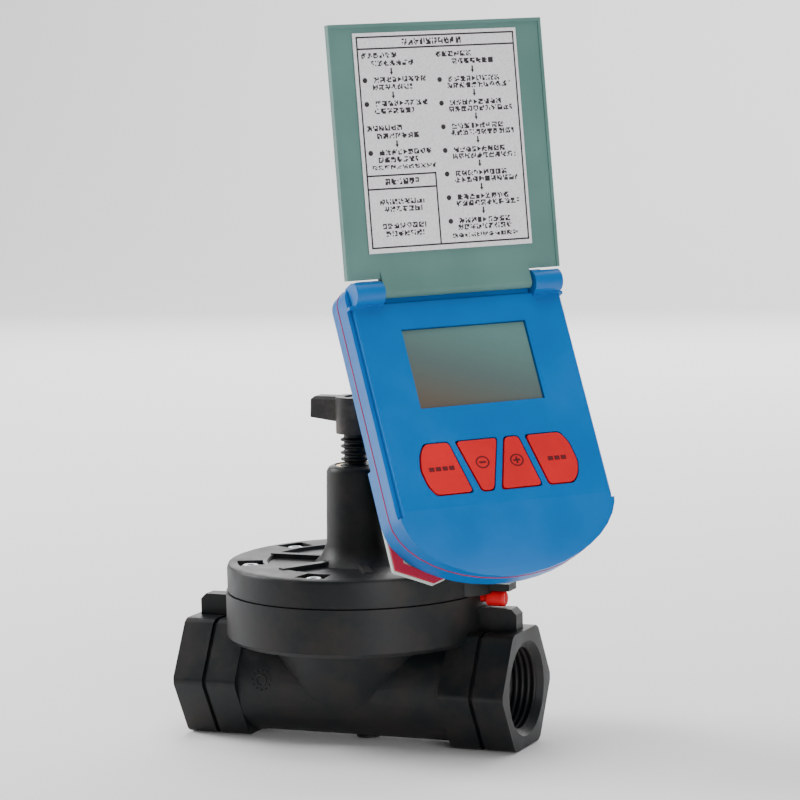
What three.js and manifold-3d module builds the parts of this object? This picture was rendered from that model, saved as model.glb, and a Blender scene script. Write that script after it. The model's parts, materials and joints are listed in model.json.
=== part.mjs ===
// Irrigation controller: a battery timer head on a latching solenoid, standing on the bonnet of a
// one-inch globe diaphragm valve. Millimetres, +Z up, X along the flow, Z the bonnet's axis, the
// origin under the middle of the valve's foot.
import * as THREE from 'three';
import { mergeVertices } from 'three/addons/utils/BufferGeometryUtils.js';
import Module from 'manifold-3d';

const wasm = await Module();
wasm.setup();

// ---------------------------------------------------------------- driving dimensions
const GAP = 0.3;                    // clearance between pieces that touch

const VALVE_LENGTH = 128.4;         // face to face
const HEX_FLATS = 42;               // across the flats of a port
const HEX_LENGTH = 24.6;
const HEX_GROOVE = 1.6;             // width and twice the depth of the groove round each port
const FLOW_Z = HEX_FLATS / 2;
const PORT_R = 15.1;                // inside the female thread
const PORT_DEPTH = 20;
const PASSAGE_R = 12.5;
const NECK_R = 20.4;
const FLANGE_R = 48;
const FLANGE_Z = 37.3;
const SEAM_Z = 54.8;                // between body and bonnet
const SEAT_Z = 50;
const SEAT_R = 17;
const CHAMBER_R = 32.5;
const CHAMBER_FLOOR_Z = 35;
const BEAD_R = 35.2;
const RIB_THICKNESS = 6.4;
const RIB_END_X = 62;
const RIB_TOP_Z = 49.8;
const FOOT_R = 4.4;
const FOOT_X = 2.5;

const BONNET_R = 47.4;
const BONNET_TOP_Z = 65.1;
const BONNET_CEILING_Z = 60.6;
const SCREW_COUNT = 6;
const SCREW_CIRCLE_R = 39;
const SCREW_HEAD_R = 3.4;
const SCREW_SHANK_R = 2;
const TOWER_R = 11.2;
const TOWER_TOP_R = 10.6;
const TOWER_TOP_Z = 99.3;
const TOWER_BORE_R = 7.6;
const SPRING_POCKET_R = 9.2;
const SPRING_POCKET_TOP_Z = 72;

const STEM_CORE_R = 4.1;
const STEM_THREAD_R = 5.4;
const STEM_PITCH = 2.35;
const STEM_BOTTOM_Z = 64.5;
const STEM_TOP_Z = 116.3;
const HANDLE_HALF_LENGTH = 15.8;
const HANDLE_TOP_Z = 124;
const HANDLE_SKIRT_R = 6.8;
const HANDLE_SKIRT_Z = 110.8;

const SOLENOID_X = 39;
const SOLENOID_R = 12.5;
const SOLENOID_Z = 68.6;            // underside of its base flange
const SOLENOID_TOP_Z = 93;
const LUG_R = 13.5;                 // bonnet lug under the solenoid
const LUG_TOP_Z = 68;
const BLEED_Z = 53;
const BLEED_R = 2.9;
const BLEED_END_X = 57;

const HEAD_AT = [39.44, 1.28, 163]; // middle of the face's upper edge line
const HEAD_HEADING = 50;            // degrees, from -Y towards +X
const HEAD_TILT = 27;               // degrees back from upright
const CASE_HALF_WIDTH = 42.6;
const CASE_TOP = 6;
const CASE_CREASE = -80;            // where the chin starts
const CHIN_LENGTH = 24.8;
const FACE_HALF_WIDTH = 41;
const LID_SEAT = -2.5;              // depth of the side grooves
const FRONT_DEPTH = 8.6;
const REAR_FRONT = -9.3;
const REAR_UPPER = -13.6;
const REAR_LOWER = -16;
const REAR_STEP = -60;              // where the rear shell gets deeper
const WALL = 2.2;
const HINGE_Z = 1.6;                // hinge axis above the face
const LUG_IN = 30;
const LUG_OUT = 41;
const LUG_ROUND = 4.1;
const LID_OPEN = 160;               // degrees from shut
const LID_HALF_WIDTH = 42.4;
const LID_START = 4.9;
const LID_END = 94.3;
const LID_BACK = -2.8;              // the lid's outer face, from the hinge axis
const LID_FRONT = -0.6;             // its inner face
const LID_RIM = -0.1;               // top of the low rim round the inner face
const LID_RIM_WIDTH = 1.2;
const LID_BARREL_R = 2.1;
const PIN_R = 0.9;
const PIN_HOLE_R = 1.15;
const PIN_END = LUG_OUT - 1.5;
const LCD = { halfWidth: 24.7, top: -13.5, bottom: -43.4 };
const KEYS_TOP = -56.6;
const KEYS_BOTTOM = -75.2;
const KEY_GAP = 0.5;
const KEY_PART = 1.6;               // from a key's edge to the line between two keys
const KEY_EASE = 1.5;               // how far before its corners they start to round
const BATTERY = [48.5, 26.5, 17.5]; // length, width and depth
const BATTERY_AT = [1.5, -24.5];    // its middle
const BATTERY_FRONT = -7.8;
const BOX_HALF_WIDTH = 31.5;
const BOX_TOP = -5;
const BOX_BOTTOM = -44;
const BOX_BACK = -25.4;
const COVER_THICKNESS = 2.1;
const CATCH_THICKNESS = 1.4;
const PLATE_HALF_WIDTH = 41;
const PLATE_BACK = -19;
const PLATE_FRONT = -17.3;
const PLATE_TOP = -61;
const PLATE_TONGUE = 22;            // half-width of its tongue
const PLATE_TONGUE_TOP = -47.5;
const PLATE_SEAL_WIDTH = 4;
const ADAPTER_SCREW = [20.4, -66];  // either side of the head's middle

// ---------------------------------------------------------------- materials
const finish = (color, roughness, metalness = 0) =>
  new THREE.MeshStandardMaterial({ color, roughness, metalness });
const blackNylon = finish(0x2a2c2c, 0.5);
const blueCase = finish(0x0a76ba, 0.35);
const redRubber = finish(0xe8202e, 0.55);
const redSeal = finish(0xb0243c, 0.6);
const greyPlate = finish(0xc8cdca, 0.5);
const lidGrey = finish(0x6f8f8a, 0.45);
const paper = finish(0xe8e6e8, 0.7);
const lcdGlass = finish(0x6c7a75, 0.2);
const steel = finish(0xb8bcc0, 0.3, 1);
const brass = finish(0xb08d4a, 0.35, 1);
const blackRubber = finish(0x151515, 0.8);
const boardGreen = finish(0x1f6b45, 0.5);
const batteryWrap = finish(0x3c4046, 0.4);

// ---------------------------------------------------------------- solids
const radians = THREE.MathUtils.degToRad;

// A closed geometry as a solid, turned outwards where its faces point in.
function solid(source) {
  const geometry = (source.index ? source : mergeVertices(source)).clone();
  geometry.deleteAttribute('normal');
  geometry.deleteAttribute('uv');
  const merged = mergeVertices(geometry, 1e-4);
  const corners = merged.getAttribute('position').array;
  const faces = [];
  for (let i = 0; i < merged.index.count; i += 3) {
    const face = [0, 1, 2].map((k) => merged.index.getX(i + k));
    if (new Set(face).size === 3) faces.push(face);
  }
  const point = (index) => new THREE.Vector3().fromArray(corners, 3 * index);
  const volume = faces.reduce((sum, [a, b, c]) => sum + point(a).dot(point(b).cross(point(c))), 0);
  const outward = volume < 0 ? faces.map(([a, b, c]) => [a, c, b]) : faces;
  return new wasm.Manifold(new wasm.Mesh({
    numProp: 3,
    vertProperties: new Float32Array(corners),
    triVerts: new Uint32Array(outward.flat()),
  }));
}

const join = (...pieces) => pieces.reduce((whole, piece) => whole.add(piece));
const cut = (piece, ...tools) => tools.reduce((rest, tool) => rest.subtract(tool), piece);

function mesh(name, piece, material) {
  const { vertProperties, triVerts } = piece.getMesh();
  const geometry = new THREE.BufferGeometry();
  geometry.setAttribute('position', new THREE.BufferAttribute(vertProperties, 3));
  geometry.setIndex(new THREE.BufferAttribute(triVerts, 1));
  geometry.computeVertexNormals();
  const made = new THREE.Mesh(geometry, material);
  made.name = name;
  return made;
}

function boxShape([x0, x1], [y0, y1], [z0, z1]) {
  const geometry = new THREE.BoxGeometry(x1 - x0, y1 - y0, z1 - z0);
  return geometry.translate((x0 + x1) / 2, (y0 + y1) / 2, (z0 + z1) / 2);
}
const block = (x, y, z) => solid(boxShape(x, y, z));

// A turned shape about the vertical through (x, y), from [radius, height] points.
function turnedShape(outline, segments = 32, x = 0, y = 0) {
  const points = outline.map(([r, z]) => new THREE.Vector2(r, z));
  return new THREE.LatheGeometry(points, segments).rotateX(Math.PI / 2).translate(x, y, 0);
}
const turned = (...args) => solid(turnedShape(...args));
const disc = (radius, z0, z1, x = 0, y = 0, segments = 24) =>
  turned([[0, z0], [radius, z0], [radius, z1], [0, z1]], segments, x, y);
const tube = (inner, outer, z0, z1, x = 0, y = 0, segments = 20) =>
  turned([[inner, z0], [outer, z0], [outer, z1], [inner, z1], [inner, z0]], segments, x, y);

// A turned shape about a line along X through (y, z), from [radius, x] points.
function turnedAlongX(outline, segments, y, z) {
  const points = outline.map(([r, x]) => new THREE.Vector2(r, x));
  return solid(new THREE.LatheGeometry(points, segments).rotateZ(-Math.PI / 2).translate(0, y, z));
}
const barAlongX = (radius, x0, x1, y = 0, z = 0, segments = 24) =>
  turnedAlongX([[0, x0], [radius, x0], [radius, x1], [0, x1]], segments, y, z);

const shapeOf = (points) => new THREE.Shape(points.map(([x, y]) => new THREE.Vector2(x, y)));

// An outline whose corners are rounded, starting `ease` before each one.
function easedShape(points, ease) {
  const shape = new THREE.Shape();
  const corners = points.map(([x, y]) => new THREE.Vector2(x, y));
  const towards = (from, to) => to.clone().sub(from).normalize().multiplyScalar(ease).add(from);
  corners.forEach((corner, i) => {
    const start = towards(corner, corners.at(i - 1));
    const end = towards(corner, corners[(i + 1) % corners.length]);
    if (i === 0) shape.moveTo(start.x, start.y);
    else shape.lineTo(start.x, start.y);
    shape.quadraticCurveTo(corner.x, corner.y, end.x, end.y);
  });
  shape.closePath();
  return shape;
}

function slab(shape, z0, z1, curveSegments = 8) {
  const options = { depth: z1 - z0, bevelEnabled: false, curveSegments };
  return solid(new THREE.ExtrudeGeometry(shape, options).translate(0, 0, z0));
}

// An outline in the Y-Z plane, extruded along X.
function slabAlongX(points, x0, x1) {
  const geometry = new THREE.ExtrudeGeometry(shapeOf(points), { depth: x1 - x0, bevelEnabled: false });
  const turn = new THREE.Matrix4().set(0, 0, 1, x0, 1, 0, 0, 0, 0, 1, 0, 0, 0, 0, 0, 1);
  return solid(geometry.applyMatrix4(turn));
}

const torus = (radius, thickness, z, x = 0, y = 0) =>
  solid(new THREE.TorusGeometry(radius, thickness, 7, 20).translate(x, y, z));

class Helix extends THREE.Curve {
  constructor(radius, turns, z0, z1, x) {
    super();
    Object.assign(this, { radius, turns, z0, z1, x });
  }

  getPoint(t, target = new THREE.Vector3()) {
    const angle = 2 * Math.PI * this.turns * t;
    const height = THREE.MathUtils.lerp(this.z0, this.z1, t);
    return target.set(this.x + this.radius * Math.cos(angle), this.radius * Math.sin(angle), height);
  }
}

function coilSpring(radius, wire, turns, z0, z1, x = 0) {
  const section = new THREE.Shape();
  section.absarc(0, 0, wire / 2, 0, 2 * Math.PI);
  const path = new Helix(radius, turns, z0 + wire / 2, z1 - wire / 2, x);
  const options = { steps: 10 * turns, extrudePath: path, curveSegments: 3, bevelEnabled: false };
  return solid(new THREE.ExtrudeGeometry(section, options));
}

const polar = (radius, degrees) =>
  [radius * Math.cos(radians(degrees)), radius * Math.sin(radians(degrees))];

// ---------------------------------------------------------------- valve body
function hexPrism(flats, x0, x1) {
  const corner = flats / Math.sqrt(3);
  const outline = [0, 60, 120, 180, 240, 300].map((angle) => {
    const [y, z] = polar(corner, angle);
    return [y, FLOW_Z + z];
  });
  return slabAlongX(outline, x0, x1);
}

function portEnd(side) {
  const outer = side * VALVE_LENGTH / 2;
  const inner = side * (VALVE_LENGTH / 2 - HEX_LENGTH);
  const middle = (outer + inner) / 2;
  const halves = [[outer, middle + side * HEX_GROOVE / 2], [middle - side * HEX_GROOVE / 2, inner]]
    .map(([a, b]) => hexPrism(HEX_FLATS, Math.min(a, b), Math.max(a, b)));
  const core = hexPrism(HEX_FLATS - 2 * HEX_GROOVE, Math.min(outer, inner), Math.max(outer, inner));
  const rounder = barAlongX(HEX_FLATS / Math.sqrt(3) - 0.7, -VALVE_LENGTH, VALVE_LENGTH, 0, FLOW_Z, 48);
  return join(core, ...halves).intersect(rounder);
}

function sideRib(side) {
  const near = side * (CHAMBER_R + 4);
  const far = side * RIB_END_X;
  const half = RIB_THICKNESS / 2;
  const outline = [[near, FLANGE_Z - 4], [far, FLANGE_Z - 4], [far, RIB_TOP_Z - 2],
    [far - 2 * side, RIB_TOP_Z], [near, RIB_TOP_Z]];
  const plate = new THREE.ExtrudeGeometry(shapeOf(outline), { depth: 2 * half, bevelEnabled: false });
  return solid(plate.rotateX(Math.PI / 2).translate(0, half, 0));
}

function portBore(side) {
  const mouth = side * VALVE_LENGTH / 2;
  return turnedAlongX([[0, mouth + side], [PORT_R + 3, mouth + side], [PORT_R, mouth - 2 * side],
    [PORT_R, mouth - PORT_DEPTH * side], [0, mouth - PORT_DEPTH * side]], 24, 0, FLOW_Z);
}

function valveBody() {
  const bowl = turned([[0, 6], [10, 6], [17, 10], [23, 17], [28.5, 28], [33, FLANGE_Z],
    [FLANGE_R - 1.5, FLANGE_Z], [FLANGE_R, FLANGE_Z + 1.5], [FLANGE_R, SEAM_Z - 0.2],
    [0, SEAM_Z - 0.2]], 40);
  const hexInner = VALVE_LENGTH / 2 - HEX_LENGTH;
  const collar = (side) => turnedAlongX([[0, side * (hexInner - 4)], [NECK_R, side * (hexInner - 4)],
    [NECK_R + 0.5, side * hexInner], [0, side * hexInner]], 32, 0, FLOW_Z);
  const neck = barAlongX(NECK_R, -hexInner, hexInner, 0, FLOW_Z, 32);
  const outside = join(bowl, neck, collar(-1), collar(1), portEnd(-1), portEnd(1), sideRib(-1),
    sideRib(1), disc(FOOT_R, 0, 4, FOOT_X, 0, 24));
  const chamber = turned([[0, CHAMBER_FLOOR_Z], [25, CHAMBER_FLOOR_Z], [CHAMBER_R, 44],
    [CHAMBER_R, 52.6], [BEAD_R + GAP, 52.6], [BEAD_R + GAP, SEAM_Z + 1], [0, SEAM_Z + 1]], 32);
  const seat = disc(SEAT_R, FLOW_Z, SEAT_Z);
  const inlet = join(barAlongX(PASSAGE_R, -VALVE_LENGTH / 2, -SEAT_R - 1.5, 0, FLOW_Z),
    block([-28, -SEAT_R - 1.5], [-8, 8], [FLOW_Z, CHAMBER_FLOOR_Z + 1]));
  const outlet = join(disc(PASSAGE_R, FLOW_Z, SEAT_Z + 1),
    barAlongX(PASSAGE_R, 0, VALVE_LENGTH / 2, 0, FLOW_Z));
  const pilotDrain = disc(1.2, 30, SEAM_Z + 1, 44, 0, 12);
  const screwHoles = screwPlaces().map(([x, y]) => disc(SCREW_SHANK_R + GAP, 45, SEAM_Z + 1, x, y, 10));
  const bleedHole = barAlongX(1.8, 40, FLANGE_R + 1, 0, BLEED_Z, 16);
  return cut(join(cut(outside, chamber), seat), inlet, outlet, portBore(-1), portBore(1), pilotDrain,
    bleedHole, ...screwHoles);
}

// ---------------------------------------------------------------- bonnet
const screwPlaces = () => Array.from({ length: SCREW_COUNT }, (_, k) =>
  polar(SCREW_CIRCLE_R, 30 + 360 * k / SCREW_COUNT));

function screwPocket(index) {
  const middle = 30 + 360 * index / SCREW_COUNT;
  const half = 7.5;
  const shape = new THREE.Shape();
  shape.absarc(0, 0, SCREW_CIRCLE_R + 4.6, radians(middle - half), radians(middle + half), false);
  shape.absarc(0, 0, SCREW_CIRCLE_R - 4.6, radians(middle + half), radians(middle - half), true);
  return slab(shape, 61.8, BONNET_TOP_Z + 1, 3);
}

function bonnet() {
  const bottom = SEAM_Z + 0.2;
  const cap = turned([[0, bottom], [BONNET_R, bottom], [BONNET_R, BONNET_TOP_Z - 1.6],
    [BONNET_R - 0.6, BONNET_TOP_Z - 0.4], [BONNET_R - 1.8, BONNET_TOP_Z], [33, BONNET_TOP_Z],
    [32.4, BONNET_TOP_Z - 1.2], [16, BONNET_TOP_Z - 1.2], [13.2, BONNET_TOP_Z + 1.4],
    [TOWER_R, BONNET_TOP_Z + 6], [TOWER_TOP_R, TOWER_TOP_Z - 2.2], [TOWER_TOP_R - 0.9, TOWER_TOP_Z - 0.7],
    [TOWER_TOP_R - 2.4, TOWER_TOP_Z], [0, TOWER_TOP_Z]], 40);
  const ribs = [0, 60, 120, 180, 240, 300].map((angle) => {
    const rib = boxShape([9, 34], [-1.5, 1.5], [BONNET_TOP_Z - 3, BONNET_TOP_Z + 0.5]);
    return solid(rib.rotateZ(radians(angle)));
  });
  const lug = disc(LUG_R, bottom, LUG_TOP_Z, SOLENOID_X, 0, 28);
  const bleedHood = block([48, 59.6], [-3.6, 3.6], [56.2, 58.8]);
  const chamber = turned([[0, bottom - 1], [CHAMBER_R, bottom - 1], [CHAMBER_R - 2, BONNET_CEILING_Z],
    [SPRING_POCKET_R, BONNET_CEILING_Z], [SPRING_POCKET_R, SPRING_POCKET_TOP_Z],
    [TOWER_BORE_R, SPRING_POCKET_TOP_Z], [TOWER_BORE_R, TOWER_TOP_Z + 1], [0, TOWER_TOP_Z + 1]], 24);
  const socket = disc(7.3, 62.2, LUG_TOP_Z + 1, SOLENOID_X, 0);
  const pilotIn = disc(1.1, bottom, 63, 33.6, 0, 12);
  const pilotOut = disc(1.2, bottom - 1, 63, 44, 0, 12);
  const pockets = screwPlaces().map((_, k) => screwPocket(k));
  const holes = screwPlaces().map(([x, y]) => disc(SCREW_SHANK_R + GAP, bottom - 1, 63, x, y, 10));
  const knobRoom = barAlongX(BLEED_R + 0.4, FLANGE_R + 1.6, BLEED_END_X + 4, 0, BLEED_Z, 24);
  const capped = cut(join(cap, ...ribs), ...pockets);
  return cut(join(capped, lug, bleedHood), chamber, socket, pilotIn, pilotOut, knobRoom, ...holes);
}

function bonnetScrews() {
  return screwPlaces().map(([x, y], k) => {
    const seat = 62.1;
    const body = turned([[0, 46], [SCREW_SHANK_R, 46], [SCREW_SHANK_R, seat], [SCREW_HEAD_R, seat],
      [SCREW_HEAD_R, seat + 1.8], [SCREW_HEAD_R - 0.8, seat + 2.4], [0, seat + 2.4]], 12, x, y);
    const socket = disc(1.6, seat + 1, seat + 3, x, y, 6);
    return mesh(`bonnet_screw_${k + 1}`, cut(body, socket), steel);
  });
}

// ---------------------------------------------------------------- diaphragm and flow control
const diaphragm = () => turned([[0, SEAT_Z + GAP], [SEAT_R + 1, SEAT_Z + GAP], [31, 52.6],
  [32, 53], [BEAD_R, 53], [BEAD_R, 54.7], [30, 54.7], [19, 52.3], [0, 52.3]], 28);
const diaphragmDisc = () => cut(disc(15.5, 52.6, 54.2), disc(1.6, 53.4, 55, 0, 0, 12));

function flowStem() {
  const threadBottom = 86;
  const threadTop = 110.4;
  const rings = [];
  for (let z = threadBottom; z + STEM_PITCH < threadTop; z += STEM_PITCH) {
    rings.push([STEM_CORE_R, z + 0.5], [STEM_THREAD_R, z + 1], [STEM_THREAD_R, z + 1.5],
      [STEM_CORE_R, z + 2]);
  }
  const core = turned([[0, STEM_BOTTOM_Z], [STEM_CORE_R, STEM_BOTTOM_Z], ...rings,
    [STEM_CORE_R, STEM_TOP_Z], [0, STEM_TOP_Z]], 14);
  return cut(core, disc(1.9, STEM_TOP_Z - 4, STEM_TOP_Z + 1, 0, 0, 10));
}

function flowHandle() {
  const hub = disc(HANDLE_SKIRT_R, HANDLE_SKIRT_Z, HANDLE_TOP_Z);
  const side = [[-3.7, HANDLE_TOP_Z - 1], [-2.7, HANDLE_TOP_Z], [2.7, HANDLE_TOP_Z],
    [3.7, HANDLE_TOP_Z - 1], [3.4, 114], [-3.4, 114]];
  const profile = [[-HANDLE_HALF_LENGTH, 116.4], [-HANDLE_SKIRT_R, 115.2], [HANDLE_SKIRT_R, 115.2],
    [HANDLE_HALF_LENGTH, 116.4], [HANDLE_HALF_LENGTH - 0.4, HANDLE_TOP_Z - 1],
    [HANDLE_HALF_LENGTH - 1.6, HANDLE_TOP_Z], [1.6 - HANDLE_HALF_LENGTH, HANDLE_TOP_Z],
    [0.4 - HANDLE_HALF_LENGTH, HANDLE_TOP_Z - 1]];
  const front = solid(new THREE.ExtrudeGeometry(shapeOf(profile), { depth: 10, bevelEnabled: false })
    .rotateX(Math.PI / 2).translate(0, 5, 0));
  const arm = slabAlongX(side, -HANDLE_HALF_LENGTH - 1, HANDLE_HALF_LENGTH + 1).intersect(front);
  return cut(join(hub, arm), disc(STEM_THREAD_R + GAP, HANDLE_SKIRT_Z - 1, 115.2),
    disc(STEM_CORE_R + GAP, 115, STEM_TOP_Z + GAP, 0, 0, 24),
    disc(2.1, STEM_TOP_Z, HANDLE_TOP_Z + 1, 0, 0, 16), disc(3.6, 121, HANDLE_TOP_Z + 1, 0, 0, 20));
}

const handleScrew = () => cut(turned([[0, 113], [1.6, 113], [1.6, 121.3], [3.2, 121.3], [3.2, 122.8],
  [2.2, 123.5], [0, 123.5]], 20), block([-2.4, 2.4], [-0.4, 0.4], [122.6, 124]));

function bleedKnob() {
  const grip = turnedAlongX([[0, 42], [1.5, 42], [1.5, 50.4], [BLEED_R, 50.4], [BLEED_R, BLEED_END_X - 0.6],
    [BLEED_R - 0.6, BLEED_END_X], [0, BLEED_END_X]], 24, 0, BLEED_Z);
  return cut(grip, block([BLEED_END_X - 1.4, BLEED_END_X + 1], [-0.5, 0.5], [BLEED_Z - 4, BLEED_Z + 4]));
}

// ---------------------------------------------------------------- solenoid
function solenoidBase() {
  const outline = [[0, 62.6], [6.4, 62.6], [6.4, 65], [7, 65.4], [7, SOLENOID_Z - GAP],
    [11.6, SOLENOID_Z - GAP], [11.6, SOLENOID_Z + 2.4], [4.2, SOLENOID_Z + 2.4], [4.2, SOLENOID_Z + 4],
    [0, SOLENOID_Z + 4]];
  return cut(turned(outline, 20, SOLENOID_X), disc(3.2, 64, SOLENOID_Z + 5, SOLENOID_X, 0, 24),
    disc(1, 62, 65, SOLENOID_X, 0, 12));
}
const solenoidCase = () => cut(turned([[0, SOLENOID_Z + 2.7], [SOLENOID_R - 0.8, SOLENOID_Z + 2.7],
  [SOLENOID_R, SOLENOID_Z + 3.5], [SOLENOID_R, SOLENOID_TOP_Z - 1], [SOLENOID_R - 1, SOLENOID_TOP_Z],
  [0, SOLENOID_TOP_Z]], 28, SOLENOID_X), disc(4.5, SOLENOID_Z + 2, SOLENOID_Z + 4.3, SOLENOID_X, 0, 24),
disc(3.2, SOLENOID_Z + 2, SOLENOID_TOP_Z - 4, SOLENOID_X, 0, 24));

// ---------------------------------------------------------------- head frame
const headTurn = new THREE.Group();
headTurn.position.set(...HEAD_AT);
headTurn.rotation.z = radians(HEAD_HEADING);
const head = new THREE.Group();
head.rotation.x = radians(90 - HEAD_TILT);
headTurn.add(head);
headTurn.updateMatrixWorld(true);
const inHead = (shape) => shape.applyMatrix4(head.matrixWorld);

// The case's outline: rounded upper corners and a half-ellipse for the chin, drawn `inset` inside.
function caseOutline(inset = 0) {
  const half = CASE_HALF_WIDTH - inset;
  const top = CASE_TOP - inset;
  const corner = 7 - inset;
  const shape = new THREE.Shape();
  shape.moveTo(half, CASE_CREASE);
  shape.lineTo(half, top - corner);
  shape.absarc(half - corner, top - corner, corner, 0, Math.PI / 2, false);
  shape.lineTo(corner - half, top);
  shape.absarc(corner - half, top - corner, corner, Math.PI / 2, Math.PI, false);
  shape.lineTo(-half, CASE_CREASE);
  shape.absellipse(0, CASE_CREASE, half, CHIN_LENGTH - inset, Math.PI, 2 * Math.PI, false);
  return shape;
}

// The chin's curve in the side view: a slight fold at the crease, then rounding to the seam.
function chinCurve(drop, length, steps = 6) {
  return Array.from({ length: steps }, (_, k) => {
    const angle = (Math.PI / 2) * (k + 1) / steps;
    const along = length * Math.sin(angle);
    return [CASE_CREASE - along, drop - 0.16 * along - 3.4 * (1 - Math.cos(angle))];
  });
}

// The slanting lines between neighbouring keys, as the place across at a height y.
const keyLines = {
  left: (y) => 0.274 * (KEYS_TOP - y) - 16.1,
  middle: (y) => 3.1 - 0.296 * (KEYS_TOP - y),
  right: (y) => 0.253 * (KEYS_TOP - y) + 11.6,
};

// Four keys in one rounded band, each set back from the lines between them.
function keyOutlines() {
  const { left, middle, right } = keyLines;
  const [t, b] = [KEYS_TOP, KEYS_BOTTOM];
  const halfway = (t + b) / 2;
  return {
    key_mode: [[-27, t], [left(t) - KEY_PART, t], [left(b) - KEY_PART, b], [-26.6, b], [-29, b + 3.4],
      [-30.4, halfway], [-29.4, t - 4]],
    key_minus: [[left(t) + KEY_PART, t], [middle(t) - KEY_PART, t], [middle(b) - KEY_PART - 0.3, b],
      [left(b) + KEY_PART + 0.6, b]],
    key_plus: [[middle(t) + KEY_PART, t], [right(t) - KEY_PART, t], [right(b) - KEY_PART, b],
      [middle(b) + KEY_PART, b]],
    key_set: [[right(t) + KEY_PART, t], [26.6, t], [29.4, t - 4], [31, halfway - 2], [30, b + 3], [27.6, b],
      [right(b) + KEY_PART, b]],
  };
}

// A key's outline moved outwards by `grow`, each side along its own normal.
function grown(points, grow) {
  const area = points.reduce((sum, [x, y], i) => {
    const [nx, ny] = points[(i + 1) % points.length];
    return sum + x * ny - nx * y;
  }, 0);
  const sign = area > 0 ? 1 : -1;
  return points.map((here, i) => {
    const before = points[(i + points.length - 1) % points.length];
    const after = points[(i + 1) % points.length];
    const normals = [[before, here], [here, after]].map(([a, b]) =>
      new THREE.Vector2(b[1] - a[1], a[0] - b[0]).normalize().multiplyScalar(sign));
    const bisector = normals[0].clone().add(normals[1]);
    bisector.multiplyScalar(grow / (1 + normals[0].dot(normals[1])));
    return [here[0] + bisector.x, here[1] + bisector.y];
  });
}

function frontShell() {
  const sideOutline = [[CASE_TOP + 1, -FRONT_DEPTH], [CASE_TOP + 1, -1.8], [-3.4, -1.8], [-3.4, 0],
    [CASE_CREASE, 0], ...chinCurve(0, CHIN_LENGTH), [CASE_CREASE - CHIN_LENGTH - 1, -FRONT_DEPTH]];
  const outer = slab(caseOutline(), -FRONT_DEPTH, 1, 10).intersect(slabAlongX(sideOutline, -50, 50));
  const innerSide = [[4, -FRONT_DEPTH - 1], [4, -4], [-5.6, -4], [-5.6, -2.4], [CASE_CREASE, -2.4],
    ...chinCurve(-2.4, CHIN_LENGTH - WALL), [CASE_CREASE - CHIN_LENGTH, -FRONT_DEPTH - 1]];
  const inner = slab(caseOutline(WALL), -FRONT_DEPTH - 1, 1, 8).intersect(slabAlongX(innerSide, -50, 50));
  const lugs = [-1, 1].map((side) => {
    const [a, b] = [side * LUG_IN, side * LUG_OUT].sort((p, q) => p - q);
    return join(barAlongX(LUG_ROUND, a, b, 0, HINGE_Z, 24), block([a, b], [-4.7, 4.1], [-3, HINGE_Z]));
  });
  const seats = [-1, 1].map((side) => {
    const [a, b] = [side * FACE_HALF_WIDTH, side * 50].sort((p, q) => p - q);
    return block([a, b], [CASE_CREASE - 2, -4.7], [LID_SEAT, 5]);
  });
  const pinHole = barAlongX(PIN_HOLE_R, -PIN_END - GAP, PIN_END + GAP, 0, HINGE_Z, 16);
  const lcdHole = block([-LCD.halfWidth, LCD.halfWidth], [LCD.bottom, LCD.top], [-4, 1]);
  const keyHoles = Object.values(keyOutlines())
    .map((points) => slab(easedShape(grown(points, KEY_GAP), KEY_EASE), -4, 1, 3));
  return cut(join(cut(outer, inner, ...seats), ...lugs), pinHole, lcdHole, ...keyHoles);
}

function rearShell() {
  const wide = [-CASE_HALF_WIDTH - 1, CASE_HALF_WIDTH + 1];
  const low = 2 * CASE_CREASE;
  const lower = slab(caseOutline(), REAR_LOWER, REAR_FRONT, 10)
    .intersect(block(wide, [low, REAR_STEP], [REAR_LOWER, REAR_FRONT]));
  const upper = slab(caseOutline(), REAR_UPPER, REAR_FRONT, 10);
  const tongue = block([-PLATE_TONGUE, PLATE_TONGUE], [REAR_STEP - 2, PLATE_TONGUE_TOP + GAP],
    [REAR_LOWER, REAR_FRONT]);
  const batteryBox = block([-BOX_HALF_WIDTH, BOX_HALF_WIDTH], [BOX_BOTTOM, BOX_TOP], [BOX_BACK, REAR_FRONT]);
  const hollow = join(
    slab(caseOutline(WALL), REAR_UPPER + 2, 0, 8),
    slab(caseOutline(WALL), REAR_LOWER + 2, 0, 8)
      .intersect(block(wide, [low, REAR_STEP - WALL], [REAR_LOWER, 0])),
    block([WALL - BOX_HALF_WIDTH, BOX_HALF_WIDTH - WALL], [BOX_BOTTOM + WALL, BOX_TOP - WALL],
      [BOX_BACK - 1, 0]),
  );
  const posts = casePosts().map(([x, y]) => disc(3, REAR_UPPER + 1, REAR_FRONT, x, y, 10));
  const holes = casePosts().map(([x, y]) => disc(1.6, REAR_UPPER - 1, 0, x, y, 8));
  const heads = casePosts().map(([x, y]) => disc(3, REAR_UPPER - 1, REAR_UPPER + 1.2, x, y, 10));
  return cut(join(cut(join(lower, upper, tongue, batteryBox), hollow), ...posts), ...holes, ...heads);
}

const casePosts = () => [[-36.5, -1.5], [36.5, -1.5], [-36.5, -55], [36.5, -55]];

const seamGasket = () => cut(slab(caseOutline(-0.15), REAR_FRONT + 0.15, -FRONT_DEPTH - 0.15, 10),
  slab(caseOutline(1.6), REAR_FRONT - 1, 0, 10));

function batteryBlock() {
  const [length, width, depth] = BATTERY;
  const [x, y] = BATTERY_AT;
  return block([x - length / 2, x + length / 2], [y - width / 2, y + width / 2],
    [BATTERY_FRONT - depth, BATTERY_FRONT]);
}

const batterySnap = () =>
  block([-28.5, BATTERY_AT[0] - BATTERY[0] / 2 - GAP], [-36, -13], [-22, -11]);

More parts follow.
